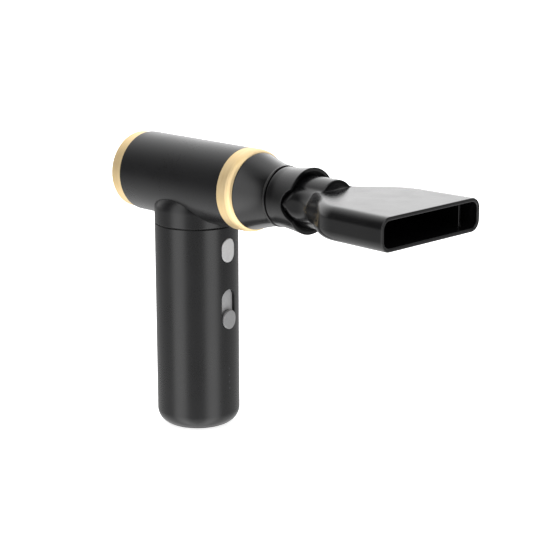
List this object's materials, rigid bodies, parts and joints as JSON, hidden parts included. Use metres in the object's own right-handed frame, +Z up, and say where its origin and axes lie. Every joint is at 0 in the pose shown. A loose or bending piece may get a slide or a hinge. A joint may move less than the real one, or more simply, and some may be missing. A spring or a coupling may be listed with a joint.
{
  "type": "hand-held air blower",
  "caption": "Cordless hand-held air blower: round barrel on a straight battery handle, pull-off adapter and turning flat nozzle.",
  "frame": {"origin": "centre of the handle's flat base, on the handle's axis", "axes": "+Z up along the handle, +X along the barrel towards the nozzle's mouth"},
  "size_m": [0.2083, 0.072, 0.1568],
  "materials": {
    "anodised_black": "matte black anodised aluminium",
    "anodised_gold": "satin champagne gold anodised aluminium",
    "nozzle_plastic": "black moulded plastic, satin sheen",
    "cap_plastic": "black moulded plastic, fine texture",
    "control_grey": "silver grey painted plastic",
    "inner_plastic": "black glass-filled plastic",
    "holder_plastic": "natural white plastic",
    "motor_alloy": "machined aluminium",
    "lamination_steel": "stacked steel sheet",
    "copper_wire": "enamelled copper wire, brass stands in for copper",
    "bright_steel": "ground steel",
    "magnet": "nickel coated sintered magnet",
    "cell_wrap": null,
    "seal_rubber": "soft black rubber",
    "seal_red": "red silicone rubber",
    "lead_sheath": "silicone lead",
    "board_laminate": "green solder mask on glass laminate",
    "board_parts": "moulded components",
    "light_plastic": "clear plastic"
  },
  "bodies": {
    "housing": {"handle_shell": "anodised_black", "base_cap": "cap_plastic", "base_screws": "bright_steel", "neck_saddle": "anodised_black", "neck_gasket": "seal_rubber", "neck_screws": "bright_steel", "barrel_shell": "anodised_black", "front_ring": "anodised_gold", "rear_ring": "anodised_gold", "intake_grille": "cap_plastic", "intake_mesh": "bright_steel", "duct_sleeve": "inner_plastic", "rear_mount_ring": "seal_rubber", "front_mount_ring": "seal_rubber", "motor_housing": "motor_alloy", "motor_end_bell": "motor_alloy", "tail_cone": "inner_plastic", "stator_core": "lamination_steel", "stator_coils": "copper_wire", "rear_bearing": "bright_steel", "front_bearing": "bright_steel", "outlet_collar": "inner_plastic", "wire_grommet": "seal_rubber", "motor_leads": "lead_sheath", "cell_left": "cell_wrap", "cell_right": "cell_wrap", "cell_back": "cell_wrap", "cell_holder_lower": "holder_plastic", "cell_holder_upper": "holder_plastic", "cell_straps": "bright_steel", "battery_leads": "lead_sheath", "charge_board": "board_laminate", "charge_port": "bright_steel", "control_board": "board_laminate", "tact_switch": "board_parts", "slider_pot": "board_parts", "light_chips": "light_plastic", "light_pipes": "light_plastic", "driver_board": "board_laminate", "driver_parts": "board_parts"},
    "rotor": {"motor_shaft": "bright_steel", "rotor_magnet": "magnet", "impeller": "motor_alloy", "hub_nut": "bright_steel"},
    "button": {"power_button": "control_grey"},
    "slider": {"slider_knob": "control_grey"},
    "adapter": {"nozzle_adapter": "nozzle_plastic", "adapter_seal": "seal_red"},
    "nozzle": {"nozzle_collar": "nozzle_plastic", "flat_nozzle": "nozzle_plastic"}
  },
  "joints": [
    {"name": "rotor_spin", "type": "hinge", "parent": "housing", "child": "rotor", "pos_m": [0, 0, 0.1352], "axis": [1, 0, 0], "continuous": true},
    {"name": "button_press", "type": "slide", "parent": "housing", "child": "button", "axis": [-0.9945, -0.1045, 0], "range_m": [0, 0.0006], "stiffness_N_per_m": 300},
    {"name": "speed_slide", "type": "slide", "parent": "housing", "child": "slider", "axis": [0, 0, 1], "range_m": [0, 0.011]},
    {"name": "adapter_pull", "type": "slide", "parent": "housing", "child": "adapter", "axis": [1, 0, 0], "range_m": [0, 0.012]},
    {"name": "nozzle_turn", "type": "hinge", "parent": "adapter", "child": "nozzle", "pos_m": [0.0674, 0, 0.1352], "axis": [1, 0, 0], "continuous": true}
  ]
}
